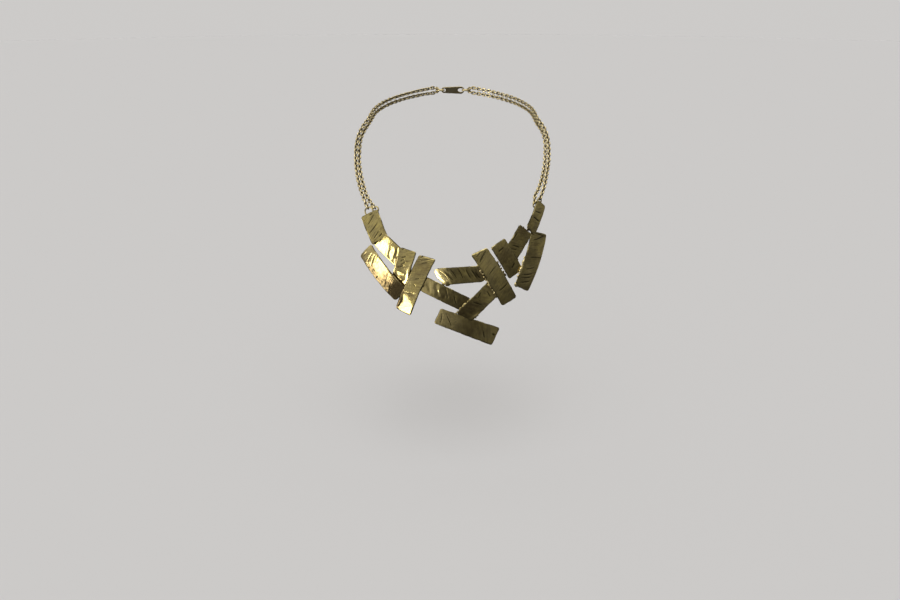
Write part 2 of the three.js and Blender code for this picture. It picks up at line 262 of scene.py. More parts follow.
# Soft folds pressed into a strip's face, with the same columns; where deep is below 0 they stand out.
FOLDS = [
    ("left_bright", 0.12, 0.3, 60, 9, 1.6, 0.16),
    ("left_bright", 0.3, 0, 62, 10, 1.6, -0.16),
    ("left_bright", 0.42, -0.3, 64, 8, 1.4, 0.22),
    ("left_bright", 0.6, 0.1, 62, 11, 1.4, -0.22),
    ("left_outer", -0.2, 0.72, 3, 17, 2.4, 0.13),
    ("left_outer", 0.45, 0.2, -70, 6, 1.6, 0.06),
    ("left_inner", 0.2, 0.1, 56, 7, 1.8, 0.14),
    ("left_inner", 0.42, -0.1, 60, 7, 1.6, -0.14),
    ("left_inner", 0.62, 0.2, 54, 7, 1.7, 0.18),
    ("left_inner", 0.85, 0, 58, 6, 1.6, -0.12),
    ("left_inner", 0.35, -0.85, 2, 15, 1.6, -0.2),
    ("left_long", 0.7, 0.95, 0, 17, 2.2, -0.25),
    ("top_bar", -0.62, 0, 72, 9, 1.6, -0.1),
    ("top_bar", -0.44, -0.1, 70, 8, 1.8, 0.2),
    ("top_bar", -0.18, 0.1, 66, 8, 1.9, 0.12),
    ("top_bar", 0.05, -0.1, 66, 8, 1.6, -0.08),
    ("top_bar", 0.3, 0, 64, 8, 1.8, 0.1),
    ("low_bar", -0.62, 0, 60, 8, 2.2, 0.14),
    ("low_bar", -0.3, -0.1, 58, 9, 1.9, 0.24),
    ("low_bar", -0.17, -0.1, 60, 8, 1.6, -0.2),
    ("low_bar", 0.03, -0.15, 58, 8, 1.9, 0.2),
    ("low_bar", 0.3, -0.1, 54, 7, 1.7, -0.12),
    ("low_bar", 0.45, -0.2, 52, 7, 1.8, 0.16),
    ("slant_bar", 0.3, 0, 70, 8, 2.4, 0.08),
    ("slant_bar", 0.62, -0.92, 0, 9, 1.5, -0.3),
    ("bottom_plate", -0.55, 0, 52, 9, 2.4, 0.1),
    ("bottom_plate", 0.35, 0, 64, 9, 2.6, 0.08),
    ("right_inner", 0.1, 0.1, 70, 9, 2.4, 0.08),
    ("right_short", 0.35, 0, 70, 8, 2.2, 0.1),
    ("right_outer", 0.2, 0, 72, 10, 2.6, 0.08),
]

# Brown patches, turning to the black patina colour as brown nears 2, and bright patches where it is
# below 0;
# long and wide are the half sizes. Most brown patches are tarnish, the rows marked below are painted
# shade, and the bright patches are painted highlights.
TARNISH_SHADE_AND_HIGHLIGHT_COLUMNS = ("strip", "along", "side", "long", "wide", "brown")
TARNISH_SHADE_AND_HIGHLIGHTS = [
    ("left_bright", 0.75, 0.2, 6, 7, 0.5),
    ("left_outer", 0.82, 0, 15, 9, 1.35),
    ("left_outer", -0.75, 0, 5, 6, -0.6),
    ("left_outer", -0.95, -0.3, 4, 5, -1),
    # these two are painted shade: a dark band along left_outer's lower-left side and a dark area over
    # its lower left
    ("left_outer", -0.3, 1.2, 17, 6, 2),
    ("left_outer", 0.38, 0.6, 9, 6.5, 2),
    ("left_inner", 0.7, 0.2, 6, 5, 0.6),
    ("left_inner", 0.1, 1, 9, 2, 0.5),
    ("left_inner", 0.5, -0.8, 8, 2, -0.9),
    ("left_long", 0.3, -0.2, 9, 3, 0.4),
    ("left_long", -0.55, 0.1, 8, 6, 0.6),
    # painted shade along left_long's left side at its lower end
    ("left_long", 0.85, 1.1, 10, 3, 2),
    # painted highlight on top_bar's left tip
    ("top_bar", -0.85, 0, 4, 7, -0.9),
    # painted shadow of right_long over top_bar's right end
    ("top_bar", 0.85, 0, 5, 7, 0.9),
    ("low_bar", 0.85, 0, 5, 7, 0.8),
    ("low_bar", -0.9, 0, 4, 7, 0.6),
    ("low_bar", 0.05, 0, 5, 5, 0.6),
    ("low_bar", -0.6, 0, 7, 7, -0.6),
    # painted shadow of right_long over slant_bar's top end
    ("slant_bar", -0.9, 0.1, 5, 8, 0.8),
    ("slant_bar", 0.5, 0.2, 10, 6, 0.8),
    ("slant_bar", 0.68, -0.95, 3, 1.6, -1),
    ("bottom_plate", 0.7, 0.1, 8, 6, -0.25),
    ("bottom_plate", 0.1, 0, 10, 8, 0.65),
    ("bottom_plate", -0.75, 0, 11, 8, -1.1),
    ("right_long", 0.75, 0, 8, 6, -0.25),
    ("right_long", -0.55, 0, 9, 7, -0.4),
    ("right_inner", 0, 0.2, 11, 6, 0.75),
    ("right_short", -0.7, 0.5, 5, 5, 0.6),
    ("right_end", 0.5, 0.5, 6, 4, 0.4),
    ("right_outer", -0.1, -0.1, 6, 6, 0.35),
    ("right_outer", 0.55, -0.1, 9, 5, -0.9),
]

# Ends that curl back from the strip's line: end is -1 or 1, reach is how far the curl runs, and a
# power near 1 makes it a straight bend.
CURL_COLUMNS = ("strip", "end", "reach", "drop", "power")
CURLS = [
    ("top_bar", -1, 7.5, 1.8, 1.3),
    ("left_outer", 1, 13, 0.8, 2),
    ("bottom_plate", -1, 16, 0.7, 2),
    ("left_inner", 1, 5, 0.3, 2),
]

# Ragged solder along the edges of the upper strips: start, stop and side run from -1 to 1.
SEAM_COLUMNS = ("strip", "start", "stop", "side", "count", "size", "finish")
SEAMS = [
    ("left_end", 0.92, 1.0, 0.9, 3, 0.6, "dull"),
    ("left_long", 0.35, 0.95, 1.0, 12, 0.45, "dull"),
    ("left_inner", 0.2, 0.75, 0.98, 6, 0.4, "dull"),
    ("top_bar", -0.95, -0.75, 0.9, 4, 0.6, "dull"),
    ("slant_bar", 0.2, 1.05, 1.0, 12, 0.55, "dull"),
    ("slant_bar", 0.6, 0.76, -1.0, 4, 0.6, "dull"),
    ("right_long", -0.55, 0.6, 1.05, 28, 0.7, "gold"),
    ("right_long", -0.35, 0.15, -1.08, 5, 0.75, "dark"),
    ("right_inner", -0.2, 0.4, -1.0, 5, 0.5, "dark"),
    ("right_short", -1.05, -0.85, 0.3, 5, 0.6, "dark"),
    ("right_outer", 0.0, 0.95, 0.98, 18, 0.75, "gold"),
    ("right_end", 0.85, 1.02, 0.5, 5, 0.6, "dark"),
]

SOLDER_CELL = 0.16  # the solder's mesh size
LINK_LONG = 3.7  # a chain link's outer length
LINK_WIDE = 2.8
LINK_WIRE = 0.84
LINK_LEAN = 14  # degrees that the links turn about the strand's line between its two ends
LINK_TURN_PLAY = 9  # how far a link may turn about the strand's line, in degrees
LINK_TILT_PLAY = 5
HOOK_ANGLES = {"outer": -32, "inner": 22}  # where a strand's last link sits on its end ring
WIRE_SQUARENESS = 0.82  # below 1, bent wire is a little squarer than an ellipse


def rows_of(columns, table):
    return [dict(zip(columns, row)) for row in table]


def rows_for(strip, columns, table):
    return [row for row in rows_of(columns, table) if row["strip"] == strip.name]


# ---- places on the strips ----

LEVEL = np.array([1.0, 0.0, 0.0])
UPSLOPE = np.array([0.0, math.sin(CHEST_TILT), math.cos(CHEST_TILT)])
OUTWARD = np.array([0.0, -math.cos(CHEST_TILT), math.sin(CHEST_TILT)])


def turned(first, second, degrees):
    """first turned towards second."""
    angle = math.radians(degrees)
    return first * math.cos(angle) + second * math.sin(angle)


class Strip:
    """One bent strip: its directions along it, across it and out of its face, and its size."""

    def __init__(self, row):
        for column, value in row.items():
            setattr(self, column, value)
        angle = self.across / CHEST_RADIUS
        out = LEVEL * math.sin(angle) + OUTWARD * math.cos(angle)
        sideways = LEVEL * math.cos(angle) - OUTWARD * math.sin(angle)
        flat_along = turned(sideways, -UPSLOPE, self.turn)
        flat_across = turned(-UPSLOPE, -sideways, self.turn)
        self.along_way = turned(flat_along, out, self.dip)
        dipped = turned(out, -flat_along, self.dip)
        self.across_way = turned(flat_across, dipped, self.roll)
        self.face_way = turned(dipped, -flat_across, self.roll)
        reach = CHEST_RADIUS + self.lift
        self.middle = (
            BIB_TOP
            + LEVEL * reach * math.sin(angle)
            + OUTWARD * (reach * math.cos(angle) - CHEST_RADIUS)
            - UPSLOPE * self.down
        )
        self.wide = (self.start_wide + self.end_wide) / 2

    def place(self, fraction, side, height):
        """Points in millimetres; fraction and side run from -1 to 1, height is out of its face."""
        fraction, side, height = np.broadcast_arrays(fraction, side, height)
        width = self.start_wide + (self.end_wide - self.start_wide) * (fraction + 1) / 2
        sideways = side * width / 2
        start, end = (math.tan(math.radians(cut)) for cut in (self.start_cut, self.end_cut))
        cut = np.where(fraction < 0, start, -end)
        lengthways = fraction * self.long / 2 + cut * sideways * fraction
        bulge = self.arch * (1 - (2 * lengthways / self.long) ** 2)
        return (
            self.middle
            + np.multiply.outer(lengthways, self.along_way)
            + np.multiply.outer(sideways, self.across_way)
            + np.multiply.outer(bulge + height, self.face_way)
        )


strips = {row["name"]: Strip(row) for row in rows_of(STRIP_COLUMNS, STRIPS)}

# ---- meshes ----


def grid_quads(index):
    """Quads between the neighbours in a grid of point numbers."""
    return np.stack([index[:-1, :-1], index[1:, :-1], index[1:, 1:], index[:-1, 1:]], -1).reshape(-1, 4)


def signed_volume(points, quads):
    a, b, c, d = (points[quads[:, corner]] for corner in range(4))
    return float(np.sum(np.cross(a, b) * c) + np.sum(np.cross(a, c) * d))


def add_object(name, data):
    thing = bpy.data.objects.new(name, data)
    bpy.context.scene.collection.objects.link(thing)
    return thing


def add_mesh(name, points, quads, material, slot, attributes=None):
    """A smooth closed mesh from points in millimetres, its faces turned outwards."""
    points = np.asarray(points, float).reshape(-1, 3)
    quads = np.asarray(quads, int)
    if signed_volume(points - points.mean(0), quads) < 0:
        quads = quads[:, ::-1]
    mesh = bpy.data.meshes.new(name)
    mesh.from_pydata((points * MM).tolist(), [], quads.tolist())
    mesh.polygons.foreach_set("use_smooth", [True] * len(mesh.polygons))
    for label, values in (attributes or {}).items():
        kind, key = ("FLOAT", "value") if values.ndim == 1 else ("FLOAT_VECTOR", "vector")
        attribute = mesh.attributes.new(label, kind, "POINT")
        attribute.data.foreach_set(key, values.astype(np.float32).ravel())
    mesh.materials.append(material)
    mesh.update()
    piece = add_object(name, mesh)
    return piece


def wander(x, y, size, rng, waves=14):
    """Smooth random relief with a scale of about size, from -1 to 1 or so."""
    total = 0
    for _ in range(waves):
        heading = rng.uniform(0, 2 * math.pi)
        pace = 2 * math.pi / (size * rng.uniform(0.7, 1.8))
        phase = rng.uniform(0, 2 * math.pi)
        total = total + np.cos((x * math.cos(heading) + y * math.sin(heading)) * pace + phase)
    return total / math.sqrt(waves)


def along_line(strip, mark, x, y, sway, rng):
    """How far each point is along a mark's middle line and off it."""
    turn = math.radians(mark["turn"])
    from_x = x - mark["along"] * strip.long / 2
    from_y = y - mark["side"] * strip.wide / 2
    run = from_x * math.cos(turn) + from_y * math.sin(turn)
    off = from_y * math.cos(turn) - from_x * math.sin(turn)
    return run, off + sway * np.sin(run * rng.uniform(0.4, 0.9) + rng.uniform(0, 6))


def mark_lines(strip, x, y, rng):
    """Height and darkness of the lines cut into a strip's face, and of the painted shade lines along
    some of its sides.
    """
    height = np.zeros_like(x)
    darkness = np.zeros_like(x)
    for mark in rows_for(strip, MARK_COLUMNS, MARKS):
        run, off = along_line(strip, mark, x, y, 0.12, rng)
        ends = np.clip(1 - (2 * np.abs(run) / mark["long"]) ** 4, 0, 1)
        groove = np.exp(-((1.5 * off / mark["wide"]) ** 2)) * ends
        height -= mark["deep"] * groove
        darkness = np.maximum(darkness, groove)
    return height, darkness


def folds(strip, x, y, rng):
    """Height of the soft folds pressed into a strip."""
    height = np.zeros_like(x)
    for fold in rows_for(strip, MARK_COLUMNS, FOLDS):
        run, off = along_line(strip, fold, x, y, 0.4, rng)
        ends = np.clip(1 - (2 * run / fold["long"]) ** 2, 0, 1)
        width = fold["wide"] * (1 + 0.25 * np.sin(run * 0.8 + rng.uniform(0, 6)))
        height -= fold["deep"] * np.exp(-((1.6 * off / width) ** 2)) * ends
    return height


def tarnish_shade_and_highlights(strip, x, y, rng):
    """How brown a strip's face is, from 0 to 2, and how brightly it is painted, from 0 to about 1: some
    brown patches are painted shade, and the bright patches are painted highlights.
    """
    brown, painted_highlight = np.zeros_like(x), np.zeros_like(x)
    for patch in rows_for(strip, TARNISH_SHADE_AND_HIGHLIGHT_COLUMNS, TARNISH_SHADE_AND_HIGHLIGHTS):
        from_x = (x - patch["along"] * strip.long / 2) / patch["long"]
        from_y = (y - patch["side"] * strip.wide / 2) / patch["wide"]
        reach = np.hypot(from_x, from_y) + 0.14 * wander(x, y, 4, rng)
        strength = patch["brown"] * np.exp(-(np.clip(reach, 0, None) ** 2.4))
        brown, painted_highlight = np.maximum(brown, strength), np.maximum(painted_highlight, -strength)
    return brown, painted_highlight


def curled(strip, x):
    """Height that a curled end takes off."""
    drop = np.zeros_like(x)
    for curl in rows_for(strip, CURL_COLUMNS, CURLS):
        from_end = strip.long / 2 - x * curl["end"]
        drop += curl["drop"] * np.clip(1 - from_end / curl["reach"], 0, 1) ** curl["power"]
    return drop


def hammered(strip, x, y, rng):
    """Shallow dents, long streaks and a gentle wave over a strip's face."""
    height = WAVE_DEEP * wander(x, y, WAVE_SIZE, rng) + GRAIN_DEEP * wander(x, y, GRAIN_SIZE, rng)
    streak = math.radians(STREAK_TURN)
    run = x * math.cos(streak) + y * math.sin(streak)
    off = y * math.cos(streak) - x * math.sin(streak)
    height = height + STREAK_DEEP * wander(run * STREAK_SHAPE, off, STREAK_WIDE, rng)
    for _ in range(int(strip.long * strip.wide / DENT_AREA)):
        at_x = rng.uniform(-0.5, 0.5) * strip.long
        at_y = rng.uniform(-0.5, 0.5) * strip.wide
        size = rng.uniform(0.8, 2.4)
        deep = rng.uniform(-0.035, 0.015)
        height = height + deep * np.exp(-((x - at_x) ** 2 + (y - at_y) ** 2) / size**2)
    return height


def round_corners(x, y, half_long, half_wide, radius):
    """Takes a rectangle's grid to one with round corners."""
    s = (np.abs(x) - (half_long - radius)) / radius
    t = (np.abs(y) - (half_wide - radius)) / radius
    corner = (s > 0) & (t > 0)
    shrunk_s = s * np.sqrt(np.clip(1 - t**2 / 2, 0, 1))
    shrunk_t = t * np.sqrt(np.clip(1 - s**2 / 2, 0, 1))
    new_x = np.sign(x) * (half_long - radius + radius * shrunk_s)
    new_y = np.sign(y) * (half_wide - radius + radius * shrunk_t)
    return np.where(corner, new_x, x), np.where(corner, new_y, y)


def strip_face(strip, rng):
    """A grid of points over a strip's face, and how far each is in from the rim."""
    half_long = strip.long / 2 - EDGE_BULGE
    half_wide = strip.wide / 2 - EDGE_BULGE
    columns, rows = (round(2 * half / CELL) for half in (half_long, half_wide))
    x, y = np.meshgrid(
        np.linspace(-half_long, half_long, columns + 1),
        np.linspace(-half_wide, half_wide, rows + 1),
        indexing="ij",
    )
    x, y = round_corners(x, y, half_long, half_wide, CORNERS.get(strip.name, CORNER))
    to_end, to_side = half_long - np.abs(x), half_wide - np.abs(y)
    x = x + np.sign(x) * np.exp(-to_end) * RAGGED * wander(0, y, 3.5, rng)
    y = y + np.sign(y) * np.exp(-to_side) * RAGGED * wander(x, 0, 4.5, rng)
    return x, y, np.minimum(to_end, to_side)


def strip_piece(strip, number, material):
    """A strip's face and back on one grid each, joined round the rim by a rounded edge."""
    rng = np.random.default_rng(SEED + number)
    x, y, inward = strip_face(strip, rng)
    lines, darkness = mark_lines(strip, x, y, rng)
    # a dark rim along the outline: patina on the cut edge, and painted shade
    rim_patina_and_shade = np.exp(-((inward / RIM_PATINA_AND_SHADE_WIDE) ** 2)) * np.clip(0.75 + 0.6 * wander(x, y, 7, rng), 0, 1)
    darkness = np.maximum(darkness, rim_patina_and_shade)
    brown, painted_highlight = tarnish_shade_and_highlights(strip, x, y, rng)
    dents = hammered(strip, x, y, rng) + folds(strip, x, y, rng)
    crown = CROWN * (y / (strip.wide / 2 - EDGE_BULGE)) ** 2
    rolled = EDGE_ROLL * np.exp(-((inward / EDGE_ROLL_WIDE) ** 2))
    bent = -crown - curled(strip, x)
    top = (SHEET / 2 + lines + dents - rolled + bent).ravel()
    bottom = (-SHEET / 2 + 0.5 * dents + rolled + bent).ravel()

    index = np.arange(x.size).reshape(x.shape)
    rim = np.concatenate([index[:-1, 0], index[-1, :-1], index[:0:-1, -1], index[0, :0:-1]])
    face = np.stack([x.ravel(), y.ravel()], -1)
    way = np.roll(face[rim], -1, 0) - np.roll(face[rim], 1, 0)
    outwards = np.stack([way[:, 1], -way[:, 0]], -1) / np.linalg.norm(way, axis=1, keepdims=True)
    flats, heights, rim_darkness = [face, face], [top, bottom], []
    for degrees, dark in EDGE_RINGS:
        out = EDGE_BULGE * math.cos(math.radians(degrees)) ** 0.7
        share = (1 + math.sin(math.radians(degrees))) / 2
        flats.append(face[rim] + out * outwards)
        heights.append(share * top[rim] + (1 - share) * bottom[rim])
        rim_darkness.append(np.maximum(dark, rim_patina_and_shade.ravel()[rim]))

    first_rings = [2 * x.size + ring * len(rim) for ring in range(len(EDGE_RINGS))]
    loops = [rim, *(first + np.arange(len(rim)) for first in first_rings), rim + x.size]
    quads = [grid_quads(index), grid_quads(index + x.size)[:, ::-1]]
    for upper, lower in zip(loops, loops[1:]):
        quads.append(np.stack([upper, lower, np.roll(lower, -1), np.roll(upper, -1)], -1))

    def all_over(values):
        values = values.ravel()
        return np.concatenate([values, values, np.tile(values[rim], len(EDGE_RINGS))])

    flat = np.concatenate(flats)
    fraction, side = 2 * flat[:, 0] / strip.long, 2 * flat[:, 1] / strip.wide
    points = strip.place(fraction, side, np.concatenate(heights))
    edge = np.exp(-inward.ravel() / 0.4)
    apart = 37.0 * number  # so that no strip has its neighbour's pattern
    attributes = {
        # mark carries the darkness: patina in the cut lines, painted shade in the lines along some
        # sides, and patina with painted shade on the rim
        "mark": np.concatenate([darkness.ravel(), 0 * darkness.ravel(), *rim_darkness]),
        "edge": np.concatenate([edge, edge, np.ones(len(rim) * len(EDGE_RINGS))]),
        "brown": all_over(brown),
        "painted_highlight": all_over(painted_highlight),
        "flat": np.column_stack([flat, np.full(len(flat), apart)]),
    }
    piece = add_mesh(strip.name, points, np.concatenate(quads), material, "antique_brass", attributes)
    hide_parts("bib")
    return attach(piece, "root")


def tube_ring(centres, firsts, seconds, radius, sides):
    """Points and quads of a closed tube round a closed line of centres."""
    around = np.linspace(0, 2 * math.pi, sides, endpoint=False)
    points = (
        centres[:, None]
        + firsts[:, None] * (radius * np.cos(around))[None, :, None]
        + seconds[:, None] * (radius * np.sin(around))[None, :, None]
    )
    count = len(centres)
    index = np.arange(count * sides).reshape(count, sides)
    after = np.roll(index, -1, 0)
    quads = np.stack([index, after, np.roll(after, -1, 1), np.roll(index, -1, 1)], -1)
    return points.reshape(-1, 3), quads.reshape(-1, 4)


def oval_wire(centre, long_way, wide_way, half_long, half_wide, wire, steps=28, sides=10):
    """A closed oval of round wire; half_long and half_wide are to the wire's middle."""
    turn = np.linspace(0, 2 * math.pi, steps, endpoint=False)
    c, s = (np.sign(wave) * np.abs(wave) ** WIRE_SQUARENESS for wave in (np.cos(turn), np.sin(turn)))
    line = centre + np.outer(half_long * c, long_way) + np.outer(half_wide * s, wide_way)
    heading = np.roll(line, -1, 0) - np.roll(line, 1, 0)
    heading /= np.linalg.norm(heading, axis=1, keepdims=True)
    upright = np.cross(long_way, wide_way)
    upright = np.tile(upright / np.linalg.norm(upright), (steps, 1))
    return tube_ring(line, np.cross(heading, upright), upright, wire / 2, sides)


def joined(parts):
    """One set of points and quads from several."""
    points, quads, offset = [], [], 0
    for part_points, part_quads in parts:
        points.append(part_points)
        quads.append(part_quads + offset)
        offset += len(part_points)
    return np.concatenate(points), np.concatenate(quads)


# ---- loops, rings, solder and clasp ----


def loop_centre(row):
    strip = strips[row["strip"]]
    behind = LOOP_SINK - (SHEET + LOOP_WIRE) / 2
    return strip.place(-1 - 2 * row["reach"] / strip.long, row["side"], behind)


def loop_piece(row, material):
    strip = strips[row["strip"]]
    radius = row["radius"]
    ways = (strip.along_way, strip.across_way)
    wire = oval_wire(loop_centre(row), *ways, radius, radius, LOOP_WIRE, 40, 12)
    piece = add_mesh(row["name"], *wire, material, "antique_brass")
    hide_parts("bib")
    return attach(piece, "root")


def end_ring_piece(side, material):
    centre = NAPE + LEVEL * side * RING_PLACE
    backwards = np.array([0.0, 1.0, 0.0])
    wire = oval_wire(centre, LEVEL, backwards, RING_RADIUS, RING_RADIUS, RING_WIRE, 48, 12)
    name = "left_end_ring" if side < 0 else "right_end_ring"
    piece = add_mesh(name + "_wire", *wire, material, "chain_brass")
    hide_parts(name)
    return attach(piece, "root")


def ball(centre, ways, sizes, steps=10):
    """A closed lump of quads: a cube's grid pushed out to a ball."""
    grid = np.linspace(-1, 1, steps + 1)
    u, v = np.meshgrid(grid, grid, indexing="ij")
    face = grid_quads(np.arange(u.size).reshape(u.shape))
    points, quads = [], []
    for axis in range(3):
        for sign in (-1, 1):
            cube = np.empty(u.shape + (3,))
            cube[..., axis] = sign
            cube[..., (axis + 1) % 3] = u * sign
            cube[..., (axis + 2) % 3] = v
            cube /= np.linalg.norm(cube, axis=-1, keepdims=True)
            quads.append(face + len(points) * u.size)
            points.append(cube.reshape(-1, 3))
    local = np.concatenate(points) * np.asarray(sizes)
    return centre + local @ np.stack(ways), np.concatenate(quads)


def solder_piece(finish, material):
    """The beads under the strips and the ragged solder along their edges, run together.

    Every finish goes through all the rows, so that a seam's shape doesn't hang on its finish.
    """
    rng = np.random.default_rng(SEED)
    lumps = []
    for bead in rows_of(BEAD_COLUMNS, BEADS):
        strip = strips[bead["strip"]]
        ways = (strip.along_way, strip.across_way, strip.face_way)
        side = max(-0.8, min(0.8, bead["side"]))  # the run of the solder past an edge is in the seams
        place = strip.place(bead["along"], side, -SHEET / 2)
        if bead["finish"] == finish:
            lumps.append(ball(place, ways, (bead["size"], bead["size"], BEAD_DEPTH)))
    for seam in rows_of(SEAM_COLUMNS, SEAMS):
        strip = strips[seam["strip"]]
        ways = (strip.along_way, strip.across_way, strip.face_way)
        for share in np.linspace(0, 1, seam["count"]):
            along = seam["start"] + (seam["stop"] - seam["start"]) * share + rng.uniform(-0.03, 0.03)
            side = seam["side"] + rng.uniform(-0.07, 0.05)
            sizes = seam["size"] * rng.uniform(0.5, 1.4, 3) * (1, 0.9, 0.7)
            place = strip.place(along, side, -SHEET / 2 + rng.uniform(-0.3, 0.1))
            if seam["finish"] == finish:
                lumps.append(ball(place, ways, sizes))
    piece = add_mesh(finish + "_solder", *joined(lumps), material, "antique_brass")
    melt = piece.modifiers.new("melt", "REMESH")
    melt.mode = "VOXEL"
    melt.voxel_size = SOLDER_CELL * MM
    melt.use_smooth_shade = True
    soften = piece.modifiers.new("soften", "SMOOTH")
    soften.factor = 0.5
    soften.iterations = 2
    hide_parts("bib")
    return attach(piece, "root")


def arc_points(middle, along, up, start, stop):
    return [
        (middle + along * math.cos(turn), up * math.sin(turn))
        for turn in np.radians(np.linspace(start, stop, 24))
    ]


def clasp_piece(material):
    """A closed flat clasp, cut out of its outline with its two eyes."""
    bevel = 0.25
    curve = bpy.data.curves.new("clasp_plate", "CURVE")
    curve.dimensions = "2D"
    curve.fill_mode = "BOTH"
    curve.extrude = (CLASP_THICKNESS / 2 - bevel) * MM
    curve.bevel_depth = bevel * MM
    curve.bevel_resolution = 3
    curve.offset = -bevel * MM
    for arcs in CLASP_ARCS:
        points = [point for arc in arcs for point in arc_points(*arc)]
        spline = curve.splines.new("POLY")
        spline.points.add(len(points) - 1)
        for point, (along, up) in zip(spline.points, points):
            point.co = (along * MM, up * MM, 0, 1)
        spline.use_cyclic_u = True
    shape = add_object("clasp_curve", curve)
    evaluated = shape.evaluated_get(bpy.context.evaluated_depsgraph_get())
    mesh = bpy.data.meshes.new_from_object(evaluated)
    bpy.data.objects.remove(shape)
    mesh.materials.clear()
    mesh.materials.append(material)
    piece = add_object("clasp_plate", mesh)
    piece.rotation_euler = (math.radians(90), 0, 0)
    piece.location = Vector(NAPE * MM)
    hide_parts("clasp")
    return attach(piece, "root")


# ---- chains ----


def smooth_line(points, spacing):
    """Points at equal steps of about spacing along a smooth curve through the given ones."""
    points = np.asarray(points, float)
    padded = np.vstack([2 * points[0] - points[1], points, 2 * points[-1] - points[-2]])
    knots = np.concatenate([[0], np.cumsum(np.linalg.norm(np.diff(padded, axis=0), axis=1) ** 0.5)])
    fine = []
    for first in range(len(points) - 1):
        p, t = padded[first : first + 4], knots[first : first + 4]
        for at in np.linspace(t[1], t[2], 60, endpoint=first == len(points) - 2):
            a = [p[k] + (p[k + 1] - p[k]) * (at - t[k]) / (t[k + 1] - t[k]) for k in range(3)]
            b = [a[k] + (a[k + 1] - a[k]) * (at - t[k]) / (t[k + 2] - t[k]) for k in range(2)]
            fine.append(b[0] + (b[1] - b[0]) * (at - t[1]) / (t[2] - t[1]))
    fine = np.array(fine)
    run = np.concatenate([[0], np.cumsum(np.linalg.norm(np.diff(fine, axis=0), axis=1))])
    steps = round(run[-1] / spacing)
    at = np.linspace(0, run[-1], steps + 1)
    return np.stack([np.interp(at, run, fine[:, axis]) for axis in range(3)], -1)


def unit(vector):
    return vector / np.linalg.norm(vector)


def strand_nodes(name, route, loop_row):
    """Where a strand's links hook into each other, from inside its bib loop to inside its end ring."""
    side = -1 if name.startswith("left") else 1
    loop = loop_centre(loop_row)
    pull = unit(np.asarray(route[0]) - loop)
    start = loop + pull * (loop_row["radius"] - LOOP_WIRE / 2)
    angle = math.radians(HOOK_ANGLES["outer" if "outer" in name else "inner"])
    ring_way = np.array([side * math.cos(angle), math.sin(angle), 0.0])
    ring = NAPE + LEVEL * side * RING_PLACE
    stop = ring + ring_way * (RING_RADIUS - RING_WIRE / 2)
    near_stop = stop + (np.asarray(route[-1]) - stop) * 0.9
    return smooth_line([start, *route[1:-1], near_stop, stop], LINK_LONG - 2 * LINK_WIRE)


def link_ways(nodes, width_way):
    """Each link's heading, and a way across it that turns no more than the strand's line does."""
    ways = []
    for first, second in zip(nodes, nodes[1:]):
        heading = unit(second - first)
        width_way = unit(width_way - heading * (width_way @ heading))
        ways.append((heading, width_way))
    return ways


def chain_piece(name, route, loop_row, material):
    """Oval wire links, each turned a quarter from the last, from a bib loop to an end ring."""
    rng = np.random.default_rng(SEED + len(name) + (-1 if name.startswith("left") else 1))
    nodes = strand_nodes(name, route, loop_row)
    ways = link_ways(nodes, strips[loop_row["strip"]].face_way)
    last = len(ways) - 1
    heading, width_way = ways[last]
    upright = np.array([0.0, 0.0, 1.0])
    left_over = math.degrees(math.atan2(np.cross(heading, width_way) @ upright, width_way @ upright))
    twist = (left_over - 90 * last + 90) % 180 - 90  # brings the last link upright in its end ring

    parts, darkness = [], []
    for number, (heading, width_way) in enumerate(ways):
        lean = LINK_LEAN * min(1, min(number, last - number) / 4)
        play = rng.uniform(-LINK_TURN_PLAY, LINK_TURN_PLAY)
        turn = 90 * number + twist * number / last + lean + play
        wide_way = turned(width_way, np.cross(heading, width_way), turn)
        tilt = rng.uniform(-LINK_TILT_PLAY, LINK_TILT_PLAY)
        long_way = turned(heading, np.cross(heading, wide_way), tilt)
        pitch = np.linalg.norm(nodes[number + 1] - nodes[number])
        middle = (nodes[number] + nodes[number + 1]) / 2
        halves = ((pitch + LINK_WIRE) / 2, (LINK_WIDE - LINK_WIRE) / 2)
        parts.append(oval_wire(middle, long_way, wide_way, *halves, LINK_WIRE))
        from_middle = (parts[-1][0] - middle) @ long_way
        # the links darken towards their ends, where they hook into each other: painted shade
        darkness.append(np.clip(np.abs(from_middle) / pitch * 2.6 - 0.7, 0, 1))
    attributes = {"mark": np.concatenate(darkness)}
    piece = add_mesh(name + "_links", *joined(parts), material, "chain_brass", attributes)
    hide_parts(name)
    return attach(piece, "root")


# ---- materials ----


